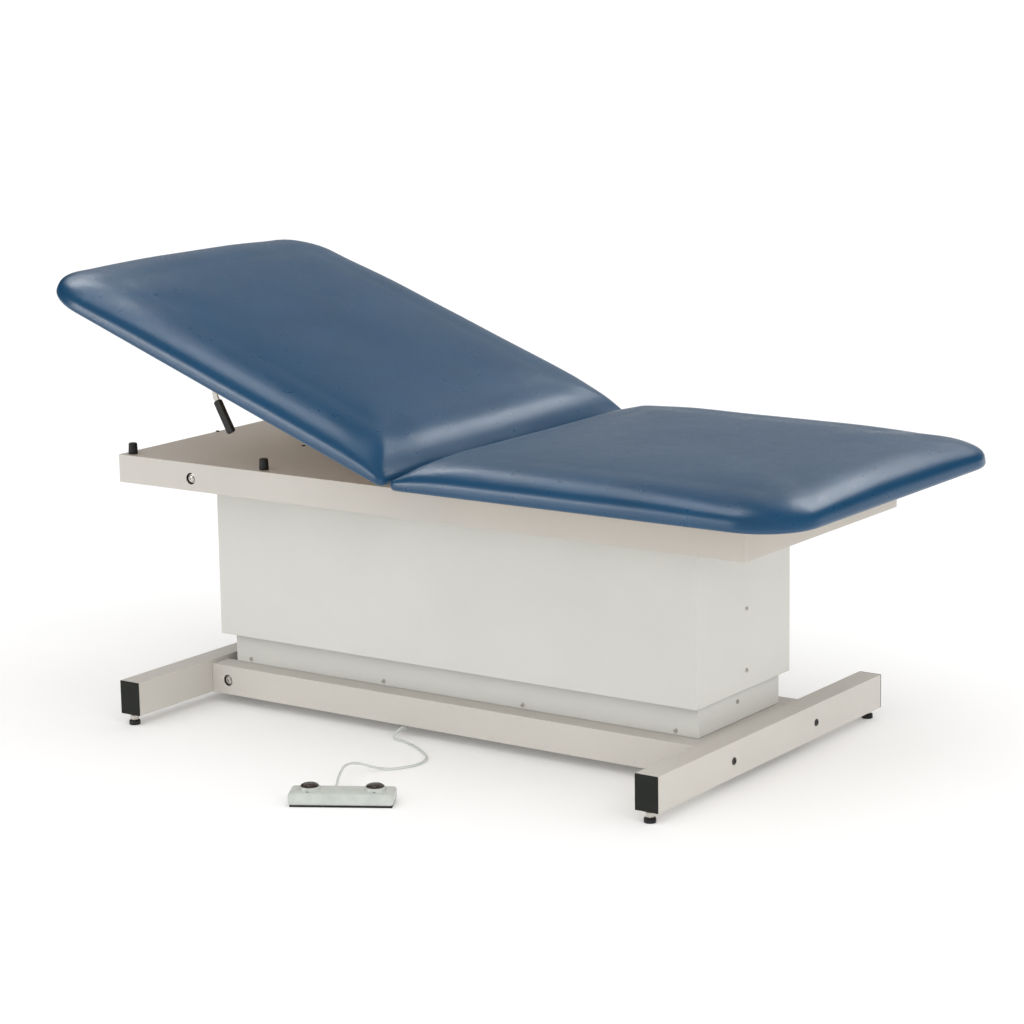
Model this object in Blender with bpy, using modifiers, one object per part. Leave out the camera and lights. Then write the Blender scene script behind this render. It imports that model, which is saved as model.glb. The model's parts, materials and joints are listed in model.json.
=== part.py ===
"""Powered two-section examination table on a scissor lift, with a wired foot switch.

Sizes are in millimetres in the table's own frame: X runs from the head end to the foot end,
Y from the front to the rear, Z up, with the zero point on the floor under the middle of the base.
The parent empty "exam_table" moves that frame so that the whole object, foot switch included,
is centred on the origin.
"""
import bpy
import bmesh
from math import asin, atan2, cos, degrees, hypot, pi, radians, sin
from mathutils import Vector

MM = 0.001
GAP = 0.3                       # between pieces that touch

# Whole object
FRAME_SHIFT = (-38.462, 133.169, 0.0)

# Base frame
BASE_HALF_LENGTH = 653.0
CROSS_BEAM = (50.0, 70.0)       # width, height
CROSS_HALF_SPAN = 426.5
BEAM_BOTTOM = 22.5
LONG_BEAM = (50.0, 62.0)
LONG_BEAM_OUTER = 198.0         # distance of its outer face from the middle
TUBE_WALL = 3.0
CAP_PLATE = 2.6
CAP_PLUG = 22.0
FOOT_INSET = 10.0               # foot axis from the beam's end
FOOT_BOLT_Y = 158.5
FOOT_BOLT_Z = 55.0

# Scissor lift
PIVOT_X = -560.0
BASE_PIVOT_Z = 52.5
TRAY_PIVOT_Z = 501.5
ARM_LENGTH = 1208.0
ARM_WIDTH = 44.0
ARM_THICK = 12.0
OUTER_ARM_Y = 136.0             # middle of the outer arm's thickness
INNER_ARM_Y = 118.0
SHAFT_RADIUS = 7.0
CENTRE_SHAFT_RADIUS = 8.0
RUNNING_GAP = 0.1               # around a shaft or pin that turns
ROLLER_RADIUS = 20.0
ROLLER_WIDTH = 18.0
LIFT_STUB_AT = 530.0            # along the outer arm
LIFT_STUB_RADIUS = 14.0

# Shrouds and tray
INNER_SHROUD = (571.0, 152.5, 406.5)            # half length, half width, top
OUTER_SHROUD = (-591.5, 582.0, 176.4, 147.3)    # head, foot, half width, bottom
SHEET = 2.0
TRAY_HALF = (755.5, 293.0)
TRAY_BOTTOM = 476.0
TRAY_TOP = 534.5
TRAY_SHEET = 2.5
ACCESS_HOLE_RADIUS = 12.0
BUMPER_PLACES = ((-733.0, -273.0), (-380.0, -273.0), (-733.0, 273.0), (-380.0, 273.0))
BUMPER_HEIGHT = 23.0

# Cushions, and the hinge between them
HINGE_X = 44.6
HINGE_Z = 560.9
BACKREST_ANGLE = 20.26
CUSHION_HALF_WIDTH = 431.5
CUSHION_THICK = 62.0
CUSHION_GAP = 8.3               # from the hinge axis to either cushion
SEAT_FOOT = 923.0
BACKREST_LENGTH = 952.0         # from the hinge axis
EDGE_ROUND = (75.0, 56.0)       # horizontal and vertical size of the crowned edge
UNDER_ROUND = 7.0
HINGE_CORNER = 14.0
OUTER_CORNER = 118.0
BOARD_THICK = 12.0
BOARD_INSET = 22.0

# Actuator and gas spring
ACTUATOR_PIN = (370.0, 51.5)
GAS_PIN = (4.6, 508.9)
GAS_TARGET = (-325.0, -22.0)    # along the backrest and below it, from the hinge axis

# Release lever
LEVER_PIVOT = (-461.0, -328.0, 729.5)
LEVER_BEND = (-454.0, 686.0)
LEVER_END = (-415.0, 615.5)

# Foot switch and its cord
PEDAL_CENTRE = (78.4, -624.3)
PEDAL_ANGLE = 29.9
PEDAL_SIZE = (199.5, 60.0, 27.0)
BUTTON_OFFSET = 61.8             # along the foot switch, either way
BUTTON_BACK = 3.0               # from its middle line towards the rear
COLLAR_HEIGHT = 6.0
BUTTON_RADIUS = 17.0
CORD_RADIUS = 2.6
CORD_GLAND = (-98.0, -196.7, 18.1)
CORD_ROUTE = (
    (-98.0, -206.6, 18.1), (-98.2, -213.0, 17.7), (-101.0, -220.5, 12.6), (-103.0, -225.5, 6.0),
    (-98.0, -229.5, 2.9), (-89.2, -231.8, 2.9), (-70.0, -235.1, 2.9), (-44.2, -245.6, 2.9),
    (-14.3, -262.5, 2.9), (15.5, -282.9, 2.9), (35.4, -301.3, 2.9), (48.4, -326.1, 2.9),
    (50.4, -356.0, 2.9), (37.4, -385.8, 2.9), (20.5, -410.7, 4.0), (3.7, -429.7, 9.5),
    (-11.7, -446.7, 17.5), (-19.6, -466.7, 23.5), (-15.1, -495.6, 26.5), (-1.1, -525.4, 26.0),
    (14.2, -554.2, 22.0), (24.2, -570.7, 17.5), (30.2, -581.0, 16.0), (36.4, -591.8, 15.5),
    (41.8, -601.4, 15.5),
)

RISE = TRAY_PIVOT_Z - BASE_PIVOT_Z
LIFT_ANGLE = asin(RISE / ARM_LENGTH)
REACH = ARM_LENGTH * cos(LIFT_ANGLE)


def clear_scene():
    for old in list(bpy.data.objects):
        bpy.data.objects.remove(old, do_unlink=True)


def new_collection(name):
    made = bpy.data.collections.new(name)
    bpy.context.scene.collection.children.link(made)
    return made


clear_scene()
PARTS = new_collection("examination_table")
CUTTERS = new_collection("cutters")


def material(name, colour, roughness, metallic=0.0):
    made = bpy.data.materials.new(name)
    made.use_nodes = True
    shader = made.node_tree.nodes["Principled BSDF"]
    shader.inputs["Base Color"].default_value = (*colour, 1.0)
    shader.inputs["Roughness"].default_value = roughness
    shader.inputs["Metallic"].default_value = metallic
    return made


FRAME_PAINT = material("frame_paint", (0.62, 0.59, 0.55), 0.45)
SHROUD_PAINT = material("shroud_paint", (0.68, 0.68, 0.64), 0.45)
VINYL = material("vinyl", (0.02, 0.075, 0.16), 0.35)
BLACK_PLASTIC = material("black_plastic", (0.02, 0.022, 0.02), 0.5)
RUBBER = material("rubber", (0.012, 0.012, 0.012), 0.7)
STEEL = material("steel", (0.6, 0.58, 0.55), 0.3, 1.0)
DARK_STEEL = material("dark_steel", (0.12, 0.11, 0.1), 0.4, 1.0)
PLYWOOD = material("plywood", (0.45, 0.3, 0.16), 0.7)
SWITCH_PLASTIC = material("switch_plastic", (0.66, 0.7, 0.66), 0.4)
BUTTON_PLASTIC = material("button_plastic", (0.035, 0.02, 0.018), 0.35)
CORD_PLASTIC = material("cord_plastic", (0.7, 0.72, 0.7), 0.45)


class Body:
    """An empty on a moving piece's axis. Its pieces are placed in the empty's own frame."""

    def __init__(self, name, pivot=(0.0, 0.0, 0.0), turn=0.0, spin=0.0):
        self.empty = bpy.data.objects.new(name, None)
        self.empty.empty_display_size = 0.05
        PARTS.objects.link(self.empty)
        self.pivot = Vector(pivot)
        self.empty.location = self.pivot * MM
        self.empty.rotation_euler = (0.0, radians(turn), radians(spin))
        self.empty.parent = TABLE

    def at(self, x, y, z):
        """The place in an unturned body's frame of a point given in the table's frame."""
        return Vector((x, y, z)) - self.pivot


TABLE = bpy.data.objects.new("exam_table", None)
TABLE.location = Vector(FRAME_SHIFT) * MM
PARTS.objects.link(TABLE)


# ---------------------------------------------------------------- shape helpers

def to_object(name, bm, paint, body, place=(0, 0, 0), turn=(0, 0, 0), cutter=False):
    mesh = bpy.data.meshes.new(name)
    bmesh.ops.recalc_face_normals(bm, faces=bm.faces)
    bm.to_mesh(mesh)
    bm.free()
    made = bpy.data.objects.new(name, mesh)
    made.location = Vector(place) * MM
    made.rotation_euler = turn
    if body:
        made.parent = body.empty
    if cutter:
        CUTTERS.objects.link(made)
        made.hide_render = True
        made.display_type = "WIRE"
    else:
        PARTS.objects.link(made)
        mesh.materials.append(paint)
    return made


def box_mesh(size):
    bm = bmesh.new()
    bmesh.ops.create_cube(bm, size=1.0)
    bmesh.ops.scale(bm, vec=Vector(size) * MM, verts=bm.verts)
    return bm


def span(low, high):
    """Size and middle of a box given by two opposite corners."""
    low, high = Vector(low), Vector(high)
    return high - low, (high + low) / 2


def add_box(name, low, high, paint, body, round_by=0.0, segments=2):
    size, middle = span(low, high)
    made = to_object(name, box_mesh(size), paint, body, middle)
    if round_by:
        bevel(made, round_by, segments)
    return made


def bevel(target, width, segments=2):
    rounding = target.modifiers.new("rounding", "BEVEL")
    rounding.width = width * MM
    rounding.segments = segments
    rounding.limit_method = "ANGLE"
    return rounding


def cylinder_mesh(radius, length, sides=24, top_radius=None):
    bm = bmesh.new()
    top = radius if top_radius is None else top_radius
    bmesh.ops.create_cone(bm, cap_ends=True, segments=sides, radius1=radius * MM,
                          radius2=top * MM, depth=length * MM)
    return bm


ALONG = {"x": (0, pi / 2, 0), "y": (-pi / 2, 0, 0), "z": (0, 0, 0)}


def add_cylinder(name, radius, length, middle, axis, paint, body, sides=24, top_radius=None):
    made = to_object(name, cylinder_mesh(radius, length, sides, top_radius), paint, body,
                     middle, ALONG[axis])
    smooth(made)
    return made


def smooth(target, angle=40.0):
    target.data.shade_smooth()
    target.data.set_sharp_from_angle(angle=radians(angle))


def boolean(target, other, operation):
    step = target.modifiers.new(operation.lower(), "BOOLEAN")
    step.operation = operation
    step.solver = "EXACT"
    step.object = other
    return step


def cut_box(target, low, high, body, round_by=0.0):
    size, middle = span(low, high)
    tool = to_object(target.name + "_cut", box_mesh(size), None, body, middle, cutter=True)
    if round_by:
        bevel(tool, round_by, 3)
    boolean(target, tool, "DIFFERENCE")
    return tool


def cut_hole(target, radius, length, middle, axis, body, sides=24):
    tool = to_object(target.name + "_bore", cylinder_mesh(radius, length, sides), None, body,
                     middle, ALONG[axis], cutter=True)
    boolean(target, tool, "DIFFERENCE")


def join_box(target, low, high, body):
    size, middle = span(low, high)
    tool = to_object(target.name + "_join", box_mesh(size), None, body, middle, cutter=True)
    boolean(target, tool, "UNION")


def join_cylinder(target, radius, length, middle, axis, body, sides=24):
    tool = to_object(target.name + "_join", cylinder_mesh(radius, length, sides), None, body,
                     middle, ALONG[axis], cutter=True)
    boolean(target, tool, "UNION")


def add_turned(name, profile, place, axis, paint, body, steps=24):
    """A turned piece. The profile is (radius, height) from the top of its outer side down."""
    bm = bmesh.new()
    points = [bm.verts.new((r * MM, 0.0, z * MM)) for r, z in profile]
    for first, second in zip(points, points[1:]):
        bm.edges.new((first, second))
    mesh = bpy.data.meshes.new(name)
    bm.to_mesh(mesh)
    bm.free()
    mesh.materials.append(paint)
    made = bpy.data.objects.new(name, mesh)
    made.location = Vector(place) * MM
    made.rotation_euler = ALONG[axis]
    made.parent = body.empty
    PARTS.objects.link(made)
    turning = made.modifiers.new("turning", "SCREW")
    turning.steps = steps
    turning.render_steps = steps
    turning.use_merge_vertices = True
    turning.merge_threshold = 0.00005
    turning.use_smooth_shade = True
    return made


def arc(centre, radius, start, end, steps):
    """Points on an arc; angles in degrees."""
    turns = [radians(start + (end - start) * i / steps) for i in range(steps + 1)]
    return [(centre[0] + radius * cos(t), centre[1] + radius * sin(t)) for t in turns]


def add_plate(name, outline, holes, thickness, place, turn, paint, body):
    """A flat plate from a closed outline and round holes (x, y, radius), as a filled curve."""
    curve = bpy.data.curves.new(name, "CURVE")
    curve.dimensions = "2D"
    curve.fill_mode = "BOTH"
    curve.extrude = thickness * MM / 2
    loops = [outline] + [arc((x, y), r, 0, 345, 23) for x, y, r in holes]
    for loop in loops:
        spline = curve.splines.new("POLY")
        spline.points.add(len(loop) - 1)
        for point, (x, y) in zip(spline.points, loop):
            point.co = (x * MM, y * MM, 0.0, 1.0)
        spline.use_cyclic_u = True
    drawn = bpy.data.objects.new(name + "_outline", curve)
    PARTS.objects.link(drawn)
    drawn.location = Vector(place) * MM
    drawn.rotation_euler = turn
    drawn.parent = body.empty
    bpy.context.view_layer.update()
    evaluated = drawn.evaluated_get(bpy.context.evaluated_depsgraph_get())
    mesh = bpy.data.meshes.new_from_object(evaluated)
    bm = bmesh.new()
    bm.from_mesh(mesh)
    bmesh.ops.remove_doubles(bm, verts=bm.verts, dist=0.00002)
    bm.to_mesh(mesh)
    bm.free()
    made = bpy.data.objects.new(name, mesh)
    made.location = Vector(place) * MM
    made.rotation_euler = turn
    made.parent = body.empty
    PARTS.objects.link(made)
    mesh.materials.clear()
    mesh.materials.append(paint)
    bpy.data.objects.remove(drawn, do_unlink=True)
    return made


UPRIGHT = (pi / 2, 0, 0)        # stands a plate drawn in X and Y up in X and Z


def rounded_outline(head, foot, half_width, head_radius, foot_radius, steps=8):
    """Corner points of a rectangle with round corners, anticlockwise from the foot's front."""
    corners = (
        (foot, -half_width, foot_radius, -90, -1, 1),
        (foot, half_width, foot_radius, 0, -1, -1),
        (head, half_width, head_radius, 90, 1, -1),
        (head, -half_width, head_radius, 180, 1, 1),
    )
    points = []
    for x, y, radius, start, to_x, to_y in corners:
        centre = (x + to_x * radius, y + to_y * radius)
        points += arc(centre, radius, start, start + 90, steps)
    return points


def add_loft(name, rings, paint, body):
    """A closed solid through rings of equal point count, each (points, height)."""
    bm = bmesh.new()
    loops = [[bm.verts.new((x * MM, y * MM, z * MM)) for x, y in points] for points, z in rings]
    bm.faces.new(list(reversed(loops[0])))
    bm.faces.new(loops[-1])
    count = len(loops[0])
    for lower, upper in zip(loops, loops[1:]):
        for i in range(count):
            j = (i + 1) % count
            bm.faces.new((lower[i], lower[j], upper[j], upper[i]))
    made = to_object(name, bm, paint, body)
    smooth(made, 60)
    return made


# ---------------------------------------------------------------- base frame

def mirror_name(name, side):
    return ("front_" if side < 0 else "rear_") + name


def add_cross_beam(name, side):
    width, height = CROSS_BEAM
    outer = side * BASE_HALF_LENGTH
    inner = side * (BASE_HALF_LENGTH - width)
    low_x, high_x = sorted((outer, inner))
    top = BEAM_BOTTOM + height
    beam = add_box(name, (low_x, -CROSS_HALF_SPAN, BEAM_BOTTOM), (high_x, CROSS_HALF_SPAN, top),
                   FRAME_PAINT, BASE)
    cut_box(beam, (low_x + TUBE_WALL, -CROSS_HALF_SPAN - 5, BEAM_BOTTOM + TUBE_WALL),
            (high_x - TUBE_WALL, CROSS_HALF_SPAN + 5, top - TUBE_WALL), BASE)
    for end in (-1, 1):
        cut_hole(beam, FOOT_STEM_RADIUS + GAP, 10,
                 ((low_x + high_x) / 2, end * (CROSS_HALF_SPAN - FOOT_INSET), BEAM_BOTTOM + 1),
                 "z", BASE, 20)
    return beam


FOOT_STEM_RADIUS = 6.0
FOOT_PROFILE = (
    (0.0, 44.0), (5.0, 44.0), (6.0, 43.0), (6.0, 20.0), (8.8, 20.0), (9.2, 19.4), (9.2, 11.2),
    (8.0, 10.2), (10.8, 9.8), (11.6, 8.8), (11.6, 1.6), (10.6, 0.0), (0.0, 0.0),
)


def add_end_cap(name, side, end):
    width, height = CROSS_BEAM
    middle = side * (BASE_HALF_LENGTH - width / 2)
    face = CROSS_HALF_SPAN + GAP
    low_z, high_z = BEAM_BOTTOM, BEAM_BOTTOM + height
    near, far = sorted((end * face, end * (face + CAP_PLATE)))
    cap = add_box(name, (middle - width / 2, near, low_z), (middle + width / 2, far, high_z),
                  BLACK_PLASTIC, BASE)
    inset = TUBE_WALL + GAP
    plug_near, plug_far = sorted((end * (face + 1), end * (face - CAP_PLUG)))
    join_box(cap, (middle - width / 2 + inset, plug_near, low_z + inset),
             (middle + width / 2 - inset, plug_far, high_z - inset), BASE)
    reach = CAP_PLUG + 10
    low_y, high_y = sorted((end * (face - reach), end * (face - 1)))
    wall = 2.5
    cut_box(cap, (middle - width / 2 + inset + wall, low_y, low_z - 1),
            (middle + width / 2 - inset - wall, high_y, high_z - inset - wall), BASE)
    return cap


def add_foot(name, side, end):
    middle = side * (BASE_HALF_LENGTH - CROSS_BEAM[0] / 2)
    body = Body(name + "_screw", (middle, end * (CROSS_HALF_SPAN - FOOT_INSET), 0.0))
    add_turned(name, FOOT_PROFILE, (0, 0, 0), "z", RUBBER, body, 20)


def add_long_beam(side):
    outer, inner = LONG_BEAM_OUTER, LONG_BEAM_OUTER - LONG_BEAM[0]
    low_y, high_y = sorted((side * outer, side * inner))
    half = BASE_HALF_LENGTH - CROSS_BEAM[0] - GAP
    top = BEAM_BOTTOM + LONG_BEAM[1]
    beam = add_box(mirror_name("long_beam", side), (-half, low_y, BEAM_BOTTOM),
                   (half, high_y, top), FRAME_PAINT, BASE)
    cut_box(beam, (-half - 5, low_y + TUBE_WALL, BEAM_BOTTOM + TUBE_WALL),
            (half + 5, high_y - TUBE_WALL, top - TUBE_WALL), BASE)
    cut_hole(beam, ACCESS_HOLE_RADIUS, 10, (PIVOT_X, side * outer, BASE_PIVOT_Z), "y", BASE)
    cut_hole(beam, SHAFT_RADIUS + RUNNING_GAP, 10, (PIVOT_X, side * inner, BASE_PIVOT_Z),
             "y", BASE)


def add_shaft(name, half_length, place, radius, body, head_radius=9.0, head=10.0):
    """A pivot shaft along Y with a domed head at each end."""
    dome = [(head_radius * cos(radians(a)), half_length - 4 + 4 * sin(radians(a)))
            for a in (90, 60, 30, 0)]
    upper = dome + [(head_radius, half_length - head), (radius, half_length - head)]
    lower = [(r, -z) for r, z in reversed(upper)]
    return add_turned(name, upper + lower, place, "y", STEEL, body)


def add_base():
    width, height = CROSS_BEAM
    add_cross_beam("head_cross_beam", -1)
    foot_beam = add_cross_beam("foot_cross_beam", 1)
    for side in (-1, 1):
        add_long_beam(side)
        cut_hole(foot_beam, 7.0, 10, (BASE_HALF_LENGTH, side * FOOT_BOLT_Y, FOOT_BOLT_Z), "x", BASE,
                 16)
        face = BASE_HALF_LENGTH - width
        bolt = ((0.0, 6.0), (4.5, 5.0), (6.5, 3.0), (6.5, 0.0), (0.0, 0.0))
        add_turned(mirror_name("foot_beam_bolt", side), bolt,
                   (face + TUBE_WALL + GAP, side * FOOT_BOLT_Y, FOOT_BOLT_Z), "x", DARK_STEEL,
                   BASE, 16)
    for beam_side, beam_name in ((-1, "head"), (1, "foot")):
        for end, end_name in ((-1, "front"), (1, "rear")):
            add_end_cap(f"{beam_name}_{end_name}_end_cap", beam_side, end)
            add_foot(f"{beam_name}_{end_name}_foot", beam_side, end)

    inner = LONG_BEAM_OUTER - LONG_BEAM[0] - GAP
    beam_face = BASE_HALF_LENGTH - width - GAP
    pan = add_box("base_pan", (-540.0, -inner, BEAM_BOTTOM + GAP),
                  (beam_face - 4, inner, BEAM_BOTTOM + GAP + SHEET), FRAME_PAINT, BASE)
    track_top = BASE_PIVOT_Z - ROLLER_RADIUS - GAP
    for side in (-1, 1):
        low_y, high_y = sorted((side * (OUTER_ARM_Y - 9), side * inner))
        join_box(pan, (405.0, low_y, BEAM_BOTTOM + GAP + 1), (beam_face - 4, high_y, track_top),
                 BASE)
    beam_top = BEAM_BOTTOM + LONG_BEAM[1]
    add_box("foot_filler_plate", (570.0, -inner, beam_top - 2.7),
            (beam_face, inner, beam_top - GAP), FRAME_PAINT, BASE)

    half_length, half_width, top = INNER_SHROUD
    shroud = add_box("inner_shroud", (-half_length, -half_width, beam_top + GAP),
                     (half_length, half_width, top), SHROUD_PAINT, BASE)
    cut_box(shroud, (-half_length + SHEET, -half_width + SHEET, beam_top - 10),
            (half_length - SHEET, half_width - SHEET, top + 10), BASE)

    add_shaft("base_pivot_shaft", 193.0, (PIVOT_X, 0, BASE_PIVOT_Z), SHAFT_RADIUS, BASE)
    add_box("control_box", (-400, -70, BEAM_BOTTOM + SHEET + 2 * GAP), (-200, 70, 75.5),
            BLACK_PLASTIC, BASE, 4)

    pin_x, pin_z = ACTUATOR_PIN
    bracket = add_box("actuator_base_bracket", (pin_x - 22, -38, BEAM_BOTTOM + SHEET + 2 * GAP),
                      (pin_x + 22, 38, pin_z + 14), FRAME_PAINT, BASE)
    cut_box(bracket, (pin_x - 30, -30, BEAM_BOTTOM + SHEET + 3), (pin_x + 30, 30, pin_z + 30),
            BASE)
    join_cylinder(bracket, 6.0, 70, (pin_x, 0, pin_z), "y", BASE, 20)


# ---------------------------------------------------------------- scissor lift

def arm_outline(start, end):
    """A long bar with round ends, between two pivot places on the X axis."""
    half = ARM_WIDTH / 2
    return arc((start, 0), half, 90, 270, 10) + arc((end, 0), half, -90, 90, 10)


def add_arm(name, start, end, y, body, end_bore, middle_bore):
    middle = (start + end) / 2
    holes = ((start, 0, end_bore), (end, 0, end_bore), (middle, 0, middle_bore))
    return add_plate(name, arm_outline(start, end), holes, ARM_THICK, (0, y, 0), UPRIGHT,
                     DARK_STEEL, body)


def roller_axle_profile(half_length, roller_y):
    """Shaft with a roller near each end, top of the outer side down."""
    shaft, roller = SHAFT_RADIUS, ROLLER_RADIUS
    near, far = roller_y - ROLLER_WIDTH / 2, roller_y + ROLLER_WIDTH / 2
    upper = [(0.0, half_length), (shaft, half_length), (shaft, far), (roller - 1, far),
             (roller, far - 1), (roller, near + 1), (roller - 1, near), (shaft, near)]
    return upper + [(r, -z) for r, z in reversed(upper)]


def add_scissor():
    bore = SHAFT_RADIUS + RUNNING_GAP
    centre_bore = CENTRE_SHAFT_RADIUS + RUNNING_GAP
    turn = degrees(LIFT_ANGLE)
    outer = Body("outer_arms", (PIVOT_X, 0, BASE_PIVOT_Z), -turn)
    for side in (-1, 1):
        arm = add_arm(mirror_name("outer_arm", side), 0, ARM_LENGTH, side * OUTER_ARM_Y, outer,
                      bore, centre_bore)
        stub_end = OUTER_ARM_Y - ARM_THICK / 2 + 3
        stub_middle = side * (stub_end + 11) / 2
        join_cylinder(arm, LIFT_STUB_RADIUS, stub_end - 11, (LIFT_STUB_AT, stub_middle, 0), "y",
                      outer)
    head_gap = OUTER_ARM_Y + ARM_THICK / 2 + GAP
    add_shaft("centre_pivot_shaft", head_gap + 5.0, (ARM_LENGTH / 2, 0, 0), CENTRE_SHAFT_RADIUS,
              outer, 12.0, 5.0)

    middle = (PIVOT_X + REACH / 2, 0, BASE_PIVOT_Z + RISE / 2)
    inner = Body("inner_arms", middle, turn)
    for side in (-1, 1):
        add_arm(mirror_name("inner_arm", side), -ARM_LENGTH / 2, ARM_LENGTH / 2,
                side * INNER_ARM_Y, inner, bore, centre_bore)

    lower = Body("lower_axle", (PIVOT_X + REACH, 0, BASE_PIVOT_Z))
    add_turned("lower_roller_axle", roller_axle_profile(147.0, OUTER_ARM_Y + 1.5), (0, 0, 0),
               "y", STEEL, lower)
    upper = Body("upper_axle", (PIVOT_X + REACH, 0, TRAY_PIVOT_Z))
    add_turned("upper_roller_axle", roller_axle_profile(146.0, INNER_ARM_Y - 1.5), (0, 0, 0),
               "y", STEEL, upper)


def add_actuator():
    pin_x, pin_z = ACTUATOR_PIN
    target_x = PIVOT_X + LIFT_STUB_AT * cos(LIFT_ANGLE)
    target_z = BASE_PIVOT_Z + LIFT_STUB_AT * sin(LIFT_ANGLE)
    length = hypot(target_x - pin_x, target_z - pin_z)
    turn = -degrees(atan2(target_z - pin_z, target_x - pin_x))
    housing_body = Body("actuator", (pin_x, 0, pin_z), turn)
    tube_end = 330.0
    housing = add_box("actuator_housing", (-10, -28, -18), (110, 28, 18), DARK_STEEL,
                      housing_body)
    join_box(housing, (50, 20, -18), (104, 84, 18), housing_body)
    join_cylinder(housing, 19.0, tube_end - 100, ((tube_end + 100) / 2, 0, 0), "x", housing_body)
    cut_hole(housing, 6.15, 80, (0, 0, 0), "y", housing_body, 20)
    cut_hole(housing, 10.5 + RUNNING_GAP, 300, (tube_end - 100, 0, 0), "x", housing_body)
    add_cylinder("actuator_motor", 26.0, 120, (104 + GAP + 60, 58, 0), "x", DARK_STEEL,
                 housing_body)

    rod_body = Body("actuator_rod_slide", (pin_x, 0, pin_z), turn)
    rod = add_cylinder("actuator_rod", 10.5, length - 10 - 130, ((length - 10 + 130) / 2, 0, 0),
                       "x", STEEL, rod_body)
    join_cylinder(rod, 16.0, 16, (length, 0, 0), "y", rod_body)
    cut_hole(rod, 8.0, 30, (length, 0, 0), "y", rod_body, 20)

# ---------------------------------------------------------------- tray and shroud

def add_tray():
    half_x, half_y = TRAY_HALF
    tray_body = Body("tray", (PIVOT_X, 0, TRAY_PIVOT_Z))
    at = tray_body.at
    pan = add_box("tray_pan", at(-half_x, -half_y, TRAY_BOTTOM), at(half_x, half_y, TRAY_TOP),
                  FRAME_PAINT, tray_body)
    sheet = TRAY_SHEET
    cut_box(pan, at(-half_x + sheet, -half_y + sheet, TRAY_BOTTOM - 20),
            at(half_x - sheet, half_y - sheet, TRAY_TOP - sheet), tray_body)
    cut_box(pan, at(-330, -20, TRAY_TOP - 10), at(30, 20, TRAY_TOP + 10), tray_body)
    for side in (-1, 1):
        cut_hole(pan, ACCESS_HOLE_RADIUS, 10, at(PIVOT_X, side * half_y, TRAY_PIVOT_Z), "y",
                 tray_body)
        low_y, high_y = sorted((side * (INNER_ARM_Y - 12), side * (INNER_ARM_Y + 9)))
        join_box(pan, at(405, low_y, TRAY_PIVOT_Z + ROLLER_RADIUS + GAP),
                 at(605, high_y, TRAY_TOP - 1), tray_body)

    plate_low = TRAY_BOTTOM + 0.5
    plate = add_box("tray_bottom_plate",
                    at(-half_x + sheet + GAP, -half_y + sheet + GAP, plate_low),
                    at(half_x - sheet - GAP, half_y - sheet - GAP, plate_low + sheet),
                    FRAME_PAINT, tray_body)
    for side in (-1, 1):
        low_y, high_y = sorted((side * 158.0, side * 164.0))
        join_box(plate, at(PIVOT_X - 30, low_y, plate_low + 1),
                 at(PIVOT_X + 30, high_y, TRAY_TOP - sheet - GAP), tray_body)
    cut_box(plate, at(-588, -152, plate_low - 10), at(590, 152, plate_low + 10), tray_body)
    cut_hole(plate, SHAFT_RADIUS + RUNNING_GAP, 400, at(PIVOT_X, 0, TRAY_PIVOT_Z), "y",
             tray_body)

    head, foot, half_width, bottom = OUTER_SHROUD
    top = plate_low - GAP
    shroud = add_box("outer_shroud", at(head, -half_width, bottom), at(foot, half_width, top),
                     SHROUD_PAINT, tray_body)
    cut_box(shroud, at(head + SHEET, -half_width + SHEET, bottom - 10),
            at(foot - SHEET, half_width - SHEET, top + 10), tray_body)

    add_shaft("tray_pivot_shaft", 288.0, at(PIVOT_X, 0, TRAY_PIVOT_Z), SHAFT_RADIUS, tray_body)

    bumper = ((0.0, BUMPER_HEIGHT), (7.5, BUMPER_HEIGHT), (9.0, BUMPER_HEIGHT - 2), (10.0, 1.0),
              (9.5, 0.0), (0.0, 0.0))
    names = ("head_front_bumper", "hinge_front_bumper", "head_rear_bumper", "hinge_rear_bumper")
    for name, (x, y) in zip(names, BUMPER_PLACES):
        add_turned(name, bumper, at(x, y, TRAY_TOP + GAP), "z", RUBBER, tray_body, 20)

    pin_x, pin_z = GAS_PIN
    bracket = add_box("gas_spring_base_bracket", at(pin_x - 14, -26, pin_z - 14),
                      at(pin_x + 14, 26, TRAY_TOP - sheet - GAP), FRAME_PAINT, tray_body)
    cut_box(bracket, at(pin_x - 20, -22, pin_z - 11), at(pin_x + 20, 22, TRAY_TOP + 10),
            tray_body)
    join_cylinder(bracket, 4.0, 50, at(pin_x, 0, pin_z), "y", tray_body, 16)
    return tray_body


# ---------------------------------------------------------------- cushions and hinge

def cushion_rings(head, foot, head_radius, foot_radius):
    """Outlines from the flat underside up over the crowned edge."""
    across, upright = EDGE_ROUND
    rings = []
    for a in (0, 45, 90):
        inset = UNDER_ROUND * (1 - sin(radians(a)))
        rings.append((inset, UNDER_ROUND * (1 - cos(radians(a)))))
    for a in (15, 30, 45, 60, 75, 90):
        inset = across * (1 - cos(radians(a)))
        rings.append((inset, CUSHION_THICK - upright + upright * sin(radians(a))))
    shaped = []
    for inset, height in rings:
        outline = rounded_outline(head + inset, foot - inset, CUSHION_HALF_WIDTH - inset,
                                  max(head_radius - inset, 2.0), max(foot_radius - inset, 2.0))
        shaped.append((outline, height))
    return shaped


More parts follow.
